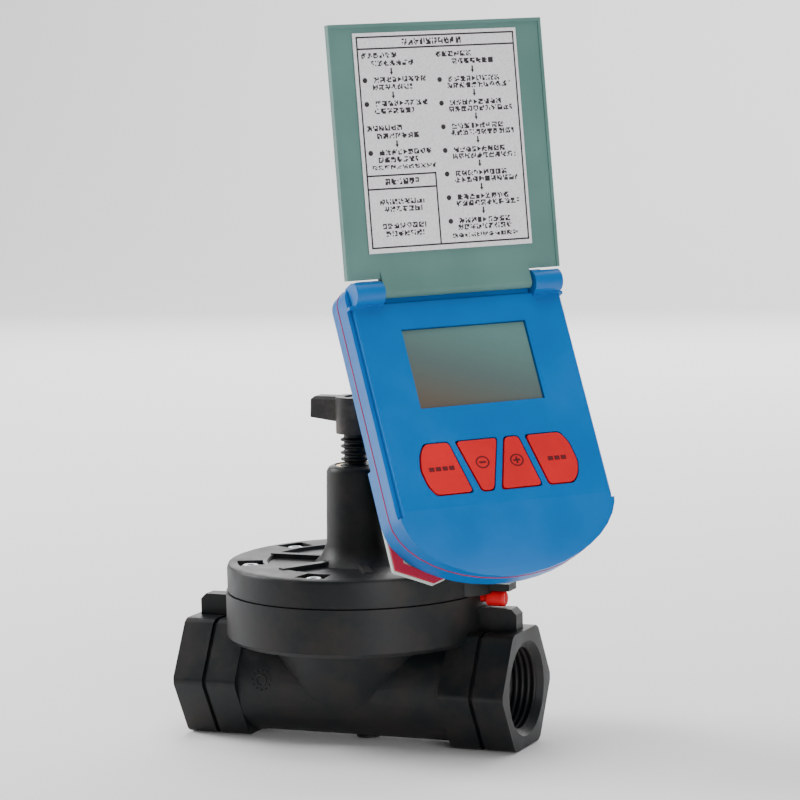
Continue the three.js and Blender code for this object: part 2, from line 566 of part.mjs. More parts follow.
// A flat cover with two catches that reach inside the box's long walls.
function batteryCover() {
  const panel = block([-BOX_HALF_WIDTH, BOX_HALF_WIDTH], [BOX_BOTTOM, BOX_TOP],
    [BOX_BACK - COVER_THICKNESS - GAP, BOX_BACK - GAP]);
  const inside = WALL + GAP;
  const catches = [BOX_BOTTOM + inside, BOX_TOP - inside - CATCH_THICKNESS].map((y) =>
    block([-18, 18], [y, y + CATCH_THICKNESS], [BOX_BACK - GAP - 1, BOX_BACK + 4]));
  return join(panel, ...catches);
}

// The mounting plate's extent between two depths: inside the case's outline, but for one corner
// that stands out of the chin, and a tongue up the middle.
function plateBlock(z0, z1, inset = 0) {
  const top = PLATE_TOP - inset;
  const depths = [z0, z1];
  const underCase = slab(caseOutline(CASE_HALF_WIDTH - PLATE_HALF_WIDTH + inset), z0, z1, 8)
    .intersect(block([-CASE_HALF_WIDTH, CASE_HALF_WIDTH], [2 * CASE_CREASE, top], depths));
  const side = inset - PLATE_HALF_WIDTH;
  const corner = slab(shapeOf([[side, top], [side, 0.6 * inset - 95.7], [-27 - 0.5 * inset, inset - 101.9],
    [-22, inset - 100.4], [-22, top]]), z0, z1);
  const tongue = block([inset - PLATE_TONGUE, PLATE_TONGUE - inset], [top - 1, PLATE_TONGUE_TOP - inset],
    depths);
  return join(underCase, corner, tongue);
}

function mountPlate() {
  const [x, y] = ADAPTER_SCREW;
  const holes = [-1, 1].map((side) => disc(1.7, -30, 0, side * x, y, 12));
  return cut(plateBlock(PLATE_BACK, PLATE_FRONT), ...holes);
}

const plateSeal = () => cut(plateBlock(PLATE_FRONT + 0.2, REAR_LOWER - 0.2, 0.2),
  plateBlock(PLATE_BACK, REAR_LOWER, PLATE_SEAL_WIDTH));

// ---------------------------------------------------------------- lid, in its own frame:
// X along the hinge, +Y away from the hinge when open, +Z towards the inner side.
function lidSolid() {
  const across = [-LID_HALF_WIDTH, LID_HALF_WIDTH];
  const plate = block(across, [LID_START, LID_END], [LID_BACK, LID_FRONT]);
  const rim = cut(
    block(across, [LID_START, LID_END], [LID_FRONT - GAP, LID_RIM]),
    block([LID_RIM_WIDTH - LID_HALF_WIDTH, LID_HALF_WIDTH - LID_RIM_WIDTH],
      [LID_START - 1, LID_END - LID_RIM_WIDTH], [LID_BACK, LID_RIM + 1]),
  );
  const half = LUG_IN - 2 * GAP;
  const barrel = barAlongX(LID_BARREL_R, -half, half, 0, 0, 24);
  const rampEnd = LID_START + 3;
  const tongue = slabAlongX([[-1.2, LID_BACK], [-1.2, 1.2], [0.5, LID_BARREL_R], [rampEnd, LID_FRONT],
    [rampEnd, LID_BACK]], -half, half);
  return cut(join(plate, rim, barrel, tongue), barAlongX(PIN_HOLE_R, -LUG_OUT, LUG_OUT, 0, 0, 16));
}

// ---------------------------------------------------------------- adapter between solenoid and head
function mountAdapter() {
  const collar = disc(SOLENOID_R + 3, 82, 104, SOLENOID_X, 0, 28);
  const flange = solid(inHead(boxShape([-24, 24], [-72, -50], [-24, PLATE_BACK - GAP])));
  const headSide = solid(inHead(boxShape([-80, 80], [-160, 60], [PLATE_BACK - GAP, 60])));
  const recess = disc(SOLENOID_R + GAP, 80, SOLENOID_TOP_Z + GAP, SOLENOID_X, 0, 28);
  const [screwX, screwY] = ADAPTER_SCREW;
  const screwHoles = [-1, 1].map((side) =>
    solid(inHead(turnedShape([[0, -60], [1.7, -60], [1.7, 0], [0, 0]], 12, side * screwX, screwY))));
  return cut(join(collar, flange), headSide, recess, ...screwHoles);
}

// ---------------------------------------------------------------- assembly
const controller = new THREE.Group();
controller.add(
  mesh('valve_body', valveBody(), blackNylon),
  mesh('bonnet', bonnet(), blackNylon),
  ...bonnetScrews(),
  mesh('diaphragm', diaphragm(), blackRubber),
  mesh('diaphragm_disc', diaphragmDisc(), greyPlate),
  mesh('diaphragm_spring', coilSpring(7.6, 1.1, 6, 54.5, SPRING_POCKET_TOP_Z - GAP), steel),
  mesh('stem_gland', tube(STEM_THREAD_R + GAP, TOWER_BORE_R - GAP, 90, TOWER_TOP_Z - 0.3), brass),
  mesh('stem_o_ring', torus(6.5, 0.9, 88), blackRubber),
  mesh('flow_stem', flowStem(), blackNylon),
  mesh('flow_handle', flowHandle(), blackNylon),
  mesh('handle_screw', handleScrew(), steel),
  mesh('bleed_knob', bleedKnob(), redRubber),
  mesh('solenoid_base', solenoidBase(), blackNylon),
  mesh('solenoid_case', solenoidCase(), blackNylon),
  mesh('plunger', disc(2.8, 65.6, 84, SOLENOID_X, 0, 20), steel),
  mesh('plunger_spring', coilSpring(2.2, 0.5, 4, 84.3, SOLENOID_TOP_Z - 4.4, SOLENOID_X), steel),
  mesh('mount_adapter', mountAdapter(), blackNylon),
);

head.add(
  mesh('front_shell', frontShell(), blueCase),
  mesh('seam_gasket', seamGasket(), redSeal),
  mesh('rear_shell', rearShell(), blueCase),
  mesh('mount_plate', mountPlate(), greyPlate),
  mesh('plate_seal', plateSeal(), redSeal),
  mesh('lcd_lens', block([-LCD.halfWidth + GAP, LCD.halfWidth - GAP], [LCD.bottom + GAP, LCD.top - GAP],
    [-2.3, -1]), lcdGlass),
  mesh('lcd_module', block([-27, 27], [-46, -11.5], [-5.4, -2.7]), lcdGlass),
  mesh('circuit_board', block([-38, 38], [-78.5, -9], [-7.4, -5.9]), boardGreen),
  mesh('keypad_membrane', block([-33, 33], [-78, -54], [-5.6, -5]), redRubber),
  ...Object.entries(keyOutlines()).map(([name, points]) =>
    mesh(name, slab(easedShape(points, KEY_EASE), -3.4, 0.4, 3), redRubber)),
  mesh('battery', batteryBlock(), batteryWrap),
  mesh('battery_snap', batterySnap(), blackRubber),
  mesh('battery_cover', batteryCover(), blueCase),
  mesh('hinge_pin', barAlongX(PIN_R, -PIN_END, PIN_END, 0, HINGE_Z, 16), steel),
);
casePosts().forEach(([x, y], k) => {
  const seat = REAR_UPPER + 0.9;
  head.add(mesh(`case_screw_${k + 1}`, turned([[0, seat - 1.2], [2.7, seat - 1.2], [2.7, seat],
    [1.3, seat + 0.2], [1.3, -9.6], [0, -9.6]], 16, x, y), steel));
});
[-1, 1].forEach((side, k) => {
  const [x, y] = ADAPTER_SCREW;
  const outline = [[0, -26.4], [3, -26.4], [3, -24.3], [1.4, -24.3], [1.4, PLATE_FRONT - 0.1],
    [0, PLATE_FRONT - 0.1]];
  head.add(mesh(`adapter_screw_${k + 1}`, turned(outline, 16, side * x, y), steel));
});

const lid = new THREE.Group();
lid.position.z = HINGE_Z;
lid.rotation.x = radians(180 - LID_OPEN);
lid.add(mesh('lid', lidSolid(), lidGrey));
lid.add(mesh('lid_label', block([-33.2, 31.8], [13.8, 91], [-0.3, 0]), paper));
head.add(lid);
controller.add(headTurn);

export default controller;
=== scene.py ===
import json
import math
import random

import bpy
from mathutils import Matrix, Vector

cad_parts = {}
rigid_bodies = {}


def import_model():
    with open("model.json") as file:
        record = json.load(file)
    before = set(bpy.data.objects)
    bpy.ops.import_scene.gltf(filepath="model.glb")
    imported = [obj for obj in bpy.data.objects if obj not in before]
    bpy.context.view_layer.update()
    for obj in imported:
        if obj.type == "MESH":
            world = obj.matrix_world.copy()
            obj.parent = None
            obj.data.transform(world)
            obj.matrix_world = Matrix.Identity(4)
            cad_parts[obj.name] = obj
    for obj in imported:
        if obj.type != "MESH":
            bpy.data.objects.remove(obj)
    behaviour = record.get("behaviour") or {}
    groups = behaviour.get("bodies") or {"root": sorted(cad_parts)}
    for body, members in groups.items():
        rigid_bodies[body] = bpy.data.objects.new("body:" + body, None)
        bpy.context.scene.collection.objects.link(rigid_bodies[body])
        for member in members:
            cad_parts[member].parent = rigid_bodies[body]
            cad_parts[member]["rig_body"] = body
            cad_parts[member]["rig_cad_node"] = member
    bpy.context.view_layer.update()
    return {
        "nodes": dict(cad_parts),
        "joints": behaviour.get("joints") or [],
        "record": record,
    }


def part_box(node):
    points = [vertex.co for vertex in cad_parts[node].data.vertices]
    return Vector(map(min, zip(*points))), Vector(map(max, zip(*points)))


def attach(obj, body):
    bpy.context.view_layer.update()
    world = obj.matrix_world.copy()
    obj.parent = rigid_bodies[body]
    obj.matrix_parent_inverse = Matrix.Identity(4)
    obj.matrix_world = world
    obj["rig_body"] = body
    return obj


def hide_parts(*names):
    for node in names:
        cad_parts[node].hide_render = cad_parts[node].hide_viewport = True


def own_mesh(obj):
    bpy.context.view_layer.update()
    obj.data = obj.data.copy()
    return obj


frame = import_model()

MM = 0.001
PORT_AXIS_Z = 21          # height of the two ports' common axis, in mm
JOINTS = {joint["name"]: joint for joint in frame["joints"]}
BODY_OF = {node: body for body, nodes in frame["record"]["behaviour"]["bodies"].items()
           for node in nodes}

# ------------------------------------------------------------------ the timer head's own frame
ACROSS = Vector(JOINTS["lid_hinge"]["axis"]).normalized()
OUT = -Vector(JOINTS["key_mode_press"]["axis"]).normalized()
UP_FACE = OUT.cross(ACROSS).normalized()
HINGE_HEIGHT = 1.6 * MM   # the lid's hinge line stands this far in front of the face
HEAD_ORIGIN = Vector(JOINTS["lid_hinge"]["pos_m"]) - HINGE_HEIGHT * OUT


def frame_matrix(across, up, out, origin):
    """A matrix that takes a frame's own coordinates to the row's."""
    turn = Matrix((across, up, out)).transposed().to_4x4()
    return Matrix.Translation(origin) @ turn


HEAD = frame_matrix(ACROSS, UP_FACE, OUT, HEAD_ORIGIN)
LID_LEAN = math.radians(20)   # the open lid leans back this far from the face's plane
LID = HEAD @ Matrix.Translation((0, 0, HINGE_HEIGHT)) @ Matrix.Rotation(LID_LEAN, 4, "X")


# ------------------------------------------------------------------ camera, lights and floor
def add_camera():
    """The camera that the object is shown from, turned a little about its own axis."""
    azimuth, elevation, roll = (math.radians(angle) for angle in (23.08, 7.26, -1.39))
    distance, aside, height, lens = 1.34345, 0.01648, 0.12215, 168.46
    back = Vector((math.sin(azimuth) * math.cos(elevation),
                   -math.cos(azimuth) * math.cos(elevation),
                   math.sin(elevation)))
    right = Vector((math.cos(azimuth), math.sin(azimuth), 0))
    up = back.cross(right)
    place = right * aside + Vector((0, 0, height)) + back * distance
    level = frame_matrix(right, up, back, place)
    bpy.ops.object.camera_add()
    camera = bpy.context.object
    camera.name = "camera"
    camera.matrix_world = level @ Matrix.Rotation(roll, 4, "Z")
    camera.data.lens = lens
    camera.data.sensor_width = 36
    camera.data.clip_start = 0.05
    camera.data.clip_end = 20
    bpy.context.scene.camera = camera


def add_light(name, place, size, power, target=(0.02, 0, 0.12)):
    """A white rectangular soft box that faces its target."""
    bpy.ops.object.light_add(type="AREA", location=place)
    light = bpy.context.object
    light.name = name
    light.data.shape = "RECTANGLE"
    light.data.size, light.data.size_y = size
    light.data.energy = power
    towards = Vector(target) - Vector(place)
    light.rotation_euler = towards.to_track_quat("-Z", "Y").to_euler()


def add_studio():
    """A pale sweep under soft boxes at both sides, above and behind, and one on the backdrop."""
    squares, sweep_size, centre_y, gap_below = 40, 6, 1.0, 0.0004
    rise_start, rise = 0.6, 0.9
    bpy.ops.mesh.primitive_grid_add(x_subdivisions=squares, y_subdivisions=squares,
                                    size=sweep_size, location=(0, centre_y, -gap_below))
    floor = bpy.context.object
    floor.name = "floor"
    for vertex in floor.data.vertices:
        beyond = max(0.0, vertex.co.y - rise_start)
        vertex.co.z += rise * beyond * beyond
    bpy.ops.object.shade_smooth()
    floor.data.materials.append(plain_floor())
    add_light("side_right", (1.35, -1.25, 0.3), (0.8, 0.8), 20)
    add_light("side_left", (-1.3, -0.05, 0.7), (0.5, 0.9), 26)
    add_light("top", (0.1, -0.1, 1.6), (1.1, 1.1), 17)
    add_light("low_back", (-0.3, 1.3, 0.5), (1.4, 0.6), 8)
    add_light("backdrop", (0.0, 1.2, 1.9), (2.4, 0.8), 70, target=(0.0, 2.6, 0.6))
    world = bpy.data.worlds.new("studio")
    bpy.context.scene.world = world
    world.use_nodes = True
    background = world.node_tree.nodes["Background"]
    background.inputs["Color"].default_value = (1, 1, 1, 1)
    background.inputs["Strength"].default_value = 0.2


# ------------------------------------------------------------------ materials
def linear(hex_colour):
    """An sRGB hex colour as linear RGBA."""
    values = [int(hex_colour[i:i + 2], 16) / 255 for i in (1, 3, 5)]
    light = [v / 12.92 if v <= 0.04045 else ((v + 0.055) / 1.055) ** 2.4 for v in values]
    return light + [1]


def add_node(tree, kind, links=None, **settings):
    """A node with its settings, and its inputs set to values or linked to other nodes' outputs."""
    node = tree.nodes.new(kind)
    for name, value in settings.items():
        setattr(node, name, value)
    for name, value in (links or {}).items():
        socket = node.inputs[name]
        if isinstance(value, bpy.types.NodeSocket):
            tree.links.new(value, socket)
        else:
            socket.default_value = value
    return node


def start_material(name, **values):
    """A new material with its principled shader, and the coordinates that its patterns read."""
    made = bpy.data.materials.new(name)
    made.use_nodes = True
    tree = made.node_tree
    shader = tree.nodes["Principled BSDF"]
    for socket, value in values.items():
        shader.inputs[socket.replace("_", " ")].default_value = value
    place = add_node(tree, "ShaderNodeTexCoord").outputs["Object"]
    return made, tree, shader, place


def per_mm(size):
    """The noise scale whose blotches are about this many millimetres wide."""
    return 1 / (size * MM)


def blend_colours(tree, factor, first, second):
    """From the first colour to the second as the factor goes from 0 to 1."""
    colour_a, colour_b, colour_result = 6, 7, 2   # the mix node's colour sockets, by number
    mix = add_node(tree, "ShaderNodeMix", data_type="RGBA")
    tree.links.new(factor, mix.inputs["Factor"])
    for index, colour in ((colour_a, first), (colour_b, second)):
        if isinstance(colour, bpy.types.NodeSocket):
            tree.links.new(colour, mix.inputs[index])
        else:
            mix.inputs[index].default_value = colour
    return mix.outputs[colour_result]


def spread(tree, value, low, high, to_low=0.0, to_high=1.0):
    """A value's range from low to high, stretched to run between two others."""
    stretched = add_node(tree, "ShaderNodeMapRange", {
        "Value": value, "From Min": low, "From Max": high, "To Min": to_low, "To Max": to_high})
    return stretched.outputs["Result"]


def moulded(name, colour, shade, grain, roughness, height):
    """Injection-moulded plastic: an even colour with faint flow clouds, and the mould's fine grain.

    The clouds keep a large face from looking flat, and the grain breaks up its highlights.
    """
    sheen_spread = 0.06
    made, tree, shader, place = start_material(name, Specular_IOR_Level=0.38)
    clouds = add_node(tree, "ShaderNodeTexNoise", {
        "Vector": place, "Scale": per_mm(28), "Detail": 3.0})
    cloudy = spread(tree, clouds.outputs["Fac"], 0.35, 0.65)
    colours = blend_colours(tree, cloudy, linear(colour), linear(shade))
    fine = add_node(tree, "ShaderNodeTexNoise", {
        "Vector": place, "Scale": per_mm(grain), "Detail": 4.0})
    rough = spread(tree, fine.outputs["Fac"], 0.3, 0.7,
                   roughness - sheen_spread, roughness + sheen_spread)
    bump = add_node(tree, "ShaderNodeBump", {
        "Height": fine.outputs["Fac"], "Distance": height * MM, "Strength": 0.5})
    tree.links.new(colours, shader.inputs["Base Color"])
    tree.links.new(rough, shader.inputs["Roughness"])
    tree.links.new(bump.outputs["Normal"], shader.inputs["Normal"])
    return made


def glass_filled_nylon(name, clean, dusty):
    """Glass-filled nylon from a spark-eroded mould: satin, with dusty brownish scuffs.

    The scuffs are lighter and rougher than the clean plastic, so the black parts look handled.
    """
    made, tree, shader, place = start_material(name, Specular_IOR_Level=0.3)
    scuffs = add_node(tree, "ShaderNodeTexNoise", {
        "Vector": place, "Scale": per_mm(14), "Detail": 6.0, "Roughness": 0.65})
    worn = spread(tree, scuffs.outputs["Fac"], 0.45, 0.72)
    colours = blend_colours(tree, worn, linear(clean), linear(dusty))
    grain = add_node(tree, "ShaderNodeTexNoise", {
        "Vector": place, "Scale": per_mm(0.55), "Detail": 3.0})
    rough = spread(tree, scuffs.outputs["Fac"], 0.3, 0.7, 0.4, 0.56)
    bump = add_node(tree, "ShaderNodeBump", {
        "Height": grain.outputs["Fac"], "Distance": 0.05 * MM, "Strength": 0.45})
    tree.links.new(colours, shader.inputs["Base Color"])
    tree.links.new(rough, shader.inputs["Roughness"])
    tree.links.new(bump.outputs["Normal"], shader.inputs["Normal"])
    return made


def blank_display():
    """Unpowered liquid-crystal glass: grey-green above, fading to a warm grey low on the left, a painted
    reflection on the glass.
    """
    reflection_fade_low, reflection_fade_high, lean = -0.019, 0.016, 0.35
    made, tree, shader, place = start_material("blank_display", IOR=1.5, Roughness=0.16)
    low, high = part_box("lcd_lens")
    middle = (low + high) / 2
    shift = add_node(tree, "ShaderNodeVectorMath", {0: place, 1: middle}, operation="SUBTRACT")
    along = add_node(tree, "ShaderNodeVectorMath", {
        0: shift.outputs[0], 1: UP_FACE + lean * ACROSS}, operation="DOT_PRODUCT")
    # Painted reflection: the glass runs from grey-green at the top to warm grey low on the left
    reflection_fade = spread(tree, along.outputs["Value"], reflection_fade_low, reflection_fade_high)
    ramp = add_node(tree, "ShaderNodeValToRGB", {"Fac": reflection_fade})
    ramp.color_ramp.elements[0].color = linear("#5E564C")
    ramp.color_ramp.elements[1].color = linear("#5C807C")
    half_way = ramp.color_ramp.elements.new(0.45)
    half_way.color = linear("#566664")
    mottle = add_node(tree, "ShaderNodeTexNoise", {
        "Vector": place, "Scale": per_mm(0.4), "Detail": 2.0})
    speck = spread(tree, mottle.outputs["Fac"], 0.4, 0.6, 0.0, 0.1)
    colours = blend_colours(tree, speck, ramp.outputs["Color"], linear("#3F4A48"))
    tree.links.new(colours, shader.inputs["Base Color"])
    shader.inputs["Coat Weight"].default_value = 0.25
    return made


def label_stock():
    """Coated paper label: near white, with a faint fibre mottle and a slight sheen."""
    made, tree, shader, place = start_material("label_stock", IOR=1.45)
    fibre = add_node(tree, "ShaderNodeTexNoise", {
        "Vector": place, "Scale": per_mm(0.8), "Detail": 5.0})
    mottle = spread(tree, fibre.outputs["Fac"], 0.35, 0.7)
    colours = blend_colours(tree, mottle, linear("#EDEAED"), linear("#D9D5DA"))
    rough = spread(tree, fibre.outputs["Fac"], 0.3, 0.7, 0.42, 0.6)
    tree.links.new(colours, shader.inputs["Base Color"])
    tree.links.new(rough, shader.inputs["Roughness"])
    return made


def metal(name, colour, dark, roughness, grain):
    """Plated or turned metal: fine streaks of tone and roughness from the tool."""
    made, tree, shader, place = start_material(name, Metallic=1.0)
    streaks = add_node(tree, "ShaderNodeTexNoise", {
        "Vector": place, "Scale": per_mm(grain), "Detail": 5.0})
    colours = blend_colours(tree, streaks.outputs["Fac"], linear(dark), linear(colour))
    rough = spread(tree, streaks.outputs["Fac"], 0.3, 0.7, roughness - 0.08, roughness + 0.1)
    tree.links.new(colours, shader.inputs["Base Color"])
    tree.links.new(rough, shader.inputs["Roughness"])
    return made


def circuit_laminate():
    """Glass-epoxy board under green mask, with the weave just showing."""
    made, tree, shader, place = start_material("circuit_laminate", IOR=1.5, Roughness=0.4)
    weave = add_node(tree, "ShaderNodeTexChecker", {
        "Vector": place, "Scale": per_mm(1.2),
        "Color1": linear("#1C6A42"), "Color2": linear("#17593A")})
    tree.links.new(weave.outputs["Color"], shader.inputs["Base Color"])
    return made


def plain_floor():
    """Matt pale paper sweep."""
    return start_material("paper_sweep", Base_Color=(0.9, 0.9, 0.9, 1), Roughness=0.9)[0]


NYLON = glass_filled_nylon("glass_filled_nylon", "#0B1012", "#25201D")
# The handle's nylon is the black nylon made lighter, as painted light where the handle catches the
# lamps; it keeps the same dusty scuffs
HANDLE_NYLON_PAINTED_LIT = glass_filled_nylon("handle_nylon_painted_lit", "#2E2C2B", "#56504B")
BLUE_ABS = moulded("blue_abs", "#0069B4", "#0061AA", 0.35, 0.36, 0.02)
RED_SILICONE = moulded("red_silicone", "#D80010", "#C4000F", 0.6, 0.55, 0.03)
SEAL_RUBBER = moulded("seal_rubber", "#B01432", "#9A1030", 0.5, 0.6, 0.03)
GREY_ABS = moulded("light_grey_abs", "#C9D2CC", "#B9C4BE", 0.5, 0.5, 0.03)
LID_ABS = moulded("grey_green_abs", "#587F79", "#517770", 0.45, 0.5, 0.03)
LABEL = label_stock()
DISPLAY = blank_display()
INK = moulded("printing_ink", "#2A2427", "#353034", 0.8, 0.7, 0.01)
KEY_INK = moulded("dark_red_ink", "#5A0A14", "#4E0810", 0.8, 0.7, 0.01)
ZINC = metal("zinc_plated_steel", "#C9CDD0", "#9DA2A6", 0.3, 0.5)
BRASS = metal("turned_brass", "#C29B55", "#98743A", 0.3, 0.4)
NITRILE = moulded("nitrile_rubber", "#161616", "#1E1D1C", 0.4, 0.75, 0.03)
BOARD = circuit_laminate()
BATTERY_PAINT = moulded("battery_paint", "#3A3E44", "#2F3237", 0.6, 0.35, 0.01)

FINISHES = {
    "black_nylon": NYLON, "blue_case": BLUE_ABS, "red_rubber": RED_SILICONE,
    "red_seal": SEAL_RUBBER, "grey_plate": GREY_ABS, "lid_grey": LID_ABS,
    "label_paper": LABEL, "lcd_window": DISPLAY, "steel": ZINC, "brass": BRASS,
    "black_rubber": NITRILE, "circuit_green": BOARD, "battery_case": BATTERY_PAINT,
}
SLOT_OF = {part["node"]: part["material_slot"] for part in frame["record"]["subparts"]}


# ------------------------------------------------------------------ modelling helpers
def only(piece):
    """Selects this piece alone and makes it the active one."""
    bpy.ops.object.select_all(action="DESELECT")
    piece.select_set(True)
    bpy.context.view_layer.objects.active = piece


def dress(piece, finish, body):
    """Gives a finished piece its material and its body."""
    piece.data.materials.clear()
    piece.data.materials.append(finish)
    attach(piece, body)
    return piece


def settle(piece):
    """Puts a piece's place into its mesh."""
    only(piece)
    bpy.ops.object.transform_apply(location=True, rotation=True, scale=True)


def rounded(piece, width):
    """Rounds the piece's sharp edges and smooths its curved faces."""
    sharp = math.radians(32)
    bevel = piece.modifiers.new("edges", "BEVEL")
    bevel.width = width * MM
    bevel.segments = 3
    bevel.limit_method = "ANGLE"
    bevel.angle_limit = sharp
    bevel.use_clamp_overlap = True
    only(piece)
    bpy.ops.object.modifier_apply(modifier="edges")
    bpy.ops.object.shade_smooth_by_angle(angle=sharp)
    flatten = piece.modifiers.new("flat_faces", "WEIGHTED_NORMAL")
    flatten.keep_sharp = True
    bpy.ops.object.modifier_apply(modifier="flat_faces")


def finished_copy(node, width, wide_edges=None, finish=None):
    """A CAD node's shape with its edges rounded by `width` mm, after any wide edges by their own."""
    wide, same_place, flat_within = 1.0, 2e-6, math.radians(0.6)
    only(frame["nodes"][node])
    bpy.ops.object.duplicate()
    piece = bpy.context.object
    piece.name = node + "_moulded"
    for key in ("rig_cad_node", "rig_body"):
        if key in piece:
            del piece[key]
    piece.parent = None
    bpy.ops.object.mode_set(mode="EDIT")
    bpy.ops.mesh.select_all(action="SELECT")
    bpy.ops.mesh.remove_doubles(threshold=same_place)
    bpy.ops.mesh.dissolve_limited(angle_limit=flat_within)
    bpy.ops.object.mode_set(mode="OBJECT")
    if wide_edges:
        bevel_edges(piece, wide_edges, wide)
    rounded(piece, width)
    slot = SLOT_OF[node]
    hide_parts(node)
    return dress(piece, finish or FINISHES[slot], BODY_OF[node])


def bevel_edges(piece, chosen, width):
    """Rounds the edges whose two ends `chosen` accepts, in the head's own millimetres."""
    back = HEAD.inverted()
    only(piece)
    bpy.ops.object.mode_set(mode="EDIT")
    bpy.ops.mesh.select_all(action="DESELECT")
    bpy.ops.object.mode_set(mode="OBJECT")
    bpy.context.tool_settings.mesh_select_mode = (False, True, False)
    for edge in piece.data.edges:
        ends = [(back @ piece.data.vertices[i].co) / MM for i in edge.vertices]
        edge.select = chosen(*ends)
    bpy.ops.object.mode_set(mode="EDIT")
    bpy.ops.mesh.bevel(offset=width * MM, segments=4, affect="EDGES", clamp_overlap=True)
    bpy.ops.object.mode_set(mode="OBJECT")


def small_block(place, size, matrix):
    """A block in a frame's own millimetres, extruded from its lower face."""
    x, y, z = place
    width, depth, height = size
    bpy.ops.mesh.primitive_plane_add(size=1)
    piece = bpy.context.object
    bpy.ops.object.mode_set(mode="EDIT")
    bpy.ops.transform.resize(value=(width * MM, depth * MM, 1))
    bpy.ops.mesh.extrude_region_move(TRANSFORM_OT_translate={"value": (0, 0, height * MM)})
    bpy.ops.mesh.select_all(action="SELECT")
    bpy.ops.mesh.normals_make_consistent(inside=False)
    bpy.ops.object.mode_set(mode="OBJECT")
    piece.matrix_world = matrix @ Matrix.Translation((x * MM, y * MM, z * MM))
    return piece


def joined(pieces, name):
    """One piece from several."""
    bpy.ops.object.select_all(action="DESELECT")
    for piece in pieces:
        piece.select_set(True)
    bpy.context.view_layer.objects.active = pieces[0]
    bpy.ops.object.join()
    whole = bpy.context.object
    whole.name = name
    whole.data.name = name
    settle(whole)
    return whole


# ------------------------------------------------------------------ valve
def port_threads():
    """Rounded thread crests inside each port, a pipe thread's pitch apart."""
    pitch, turns, outermost = 2.31, 8, 61.2
    crest_radius, crest_thickness = 15.35, 0.95
    for side, name in ((-1, "inlet_thread"), (1, "outlet_thread")):
        rings = []
        for turn in range(turns):
            bpy.ops.mesh.primitive_torus_add(
                major_radius=crest_radius * MM, minor_radius=crest_thickness * MM,
                major_segments=64, minor_segments=12, rotation=(0, math.pi / 2, 0),
                location=(side * (outermost - pitch * turn) * MM, 0, PORT_AXIS_Z * MM))
            rings.append(bpy.context.object)
        whole = joined(rings, name)
        bpy.ops.object.shade_smooth()
        dress(whole, NYLON, "valve")


def mould_date_mark():
    """A ring of dots round a plain ring, raised on the front of the inlet neck."""
    centre_x, centre_z, neck = -30.5, 22.5, 20.4
    dot_count, dot_circle, dot_radius = 12, 3.6, 0.42
    ring_radius, ring_thickness = 1.9, 0.28
    dots = []
    for turn in range(dot_count):
        angle = 2 * math.pi * turn / dot_count
        x = centre_x + dot_circle * math.cos(angle)
        z = centre_z + dot_circle * math.sin(angle)
        y = -math.sqrt(neck ** 2 - (z - PORT_AXIS_Z) ** 2)
        bpy.ops.mesh.primitive_ico_sphere_add(subdivisions=2, radius=dot_radius * MM,
                                              location=(x * MM, y * MM, z * MM))
        dots.append(bpy.context.object)
    bpy.ops.mesh.primitive_torus_add(major_radius=ring_radius * MM,
                                     minor_radius=ring_thickness * MM, major_segments=32,
                                     minor_segments=8, rotation=(math.pi / 2, 0, 0),
                                     location=(centre_x * MM, -neck * MM, centre_z * MM))
    dots.append(bpy.context.object)
    whole = joined(dots, "mould_date_mark")
    bpy.ops.object.shade_smooth()
    dress(whole, NYLON, "valve")


def pressed_spring(node):
    """A spring's rounded copy, given a mesh of its own."""
    wire_ease = 0.05
    spring = finished_copy(node, wire_ease)
    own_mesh(spring)


def valve_pieces():
    """The valve's, solenoid's and adapter's nodes, each with the width of its rounded edges in mm."""
    screw_ease = 0.15
    for node, width in (("valve_body", 0.5), ("bonnet", 0.45), ("flow_stem", 0.25),
                        ("solenoid_case", 0.4), ("solenoid_base", 0.3), ("mount_adapter", 0.5),
                        ("bleed_knob", 0.25), ("handle_screw", 0.15), ("stem_gland", 0.2)):
        finished_copy(node, width)
    # The handle takes the lighter copy of the black nylon, whose extra lightness is painted light
    finished_copy("flow_handle", 0.9, finish=HANDLE_NYLON_PAINTED_LIT)
    for number in range(1, 7):
        finished_copy(f"bonnet_screw_{number}", screw_ease)
    pressed_spring("diaphragm_spring")
    pressed_spring("plunger_spring")
    port_threads()
    mould_date_mark()


# ------------------------------------------------------------------ head
def on_face_rim(a, b):
    """Whether an edge lies in the face's plane, along either side or the top."""
    half_width, top_edge, near = 41, -3.4, 0.05
    flat = all(abs(end.z) < near for end in (a, b))
    side = all(abs(abs(end.x) - half_width) < near for end in (a, b))
    top = all(abs(end.y - top_edge) < near for end in (a, b))
    return flat and (side or top)


def head_pieces():
    """The head's nodes, each with the width of its rounded edges in mm."""
    screw_ease = 0.12
    finished_copy("front_shell", 0.5, on_face_rim)
    for node, width in (("rear_shell", 0.9), ("battery_cover", 0.6), ("mount_plate", 0.4),
                        ("plate_seal", 0.15), ("seam_gasket", 0.1), ("key_mode", 0.45),
                        ("key_minus", 0.45), ("key_plus", 0.45), ("key_set", 0.45),
                        ("lid", 0.35)):
        finished_copy(node, width)
    for node in ("case_screw_1", "case_screw_2", "case_screw_3", "case_screw_4",
                 "adapter_screw_1", "adapter_screw_2"):
        finished_copy(node, screw_ease)


